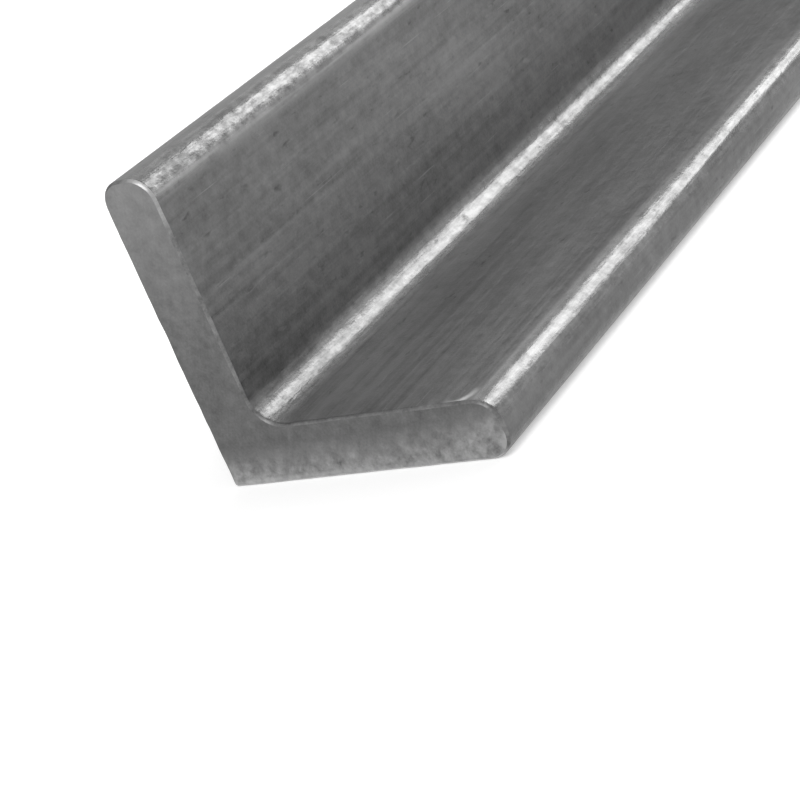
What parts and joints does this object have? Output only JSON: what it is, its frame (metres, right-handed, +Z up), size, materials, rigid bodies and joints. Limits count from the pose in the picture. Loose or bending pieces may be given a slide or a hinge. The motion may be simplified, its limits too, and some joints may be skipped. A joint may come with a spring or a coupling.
{
  "type": "metal angle section",
  "caption": "Length of hot-rolled steel angle stock with two equal legs at a right angle, a filleted root, rounded toes and square sawn ends.",
  "frame": {"origin": "on the floor under the middle of the flat leg, midway along the length", "axes": "+Y along the length, +Z up along the upright leg, +X along the flat leg from the heel towards its toe"},
  "size_m": [0.1016, 0.6096, 0.1016],
  "materials": {
    "rolled_steel": "hot-rolled mill scale, dark grey, half matt, with lighter worn edges and pale sawn ends"
  },
  "bodies": {
    "root": {"angle_section": "rolled_steel"}
  },
  "joints": []
}
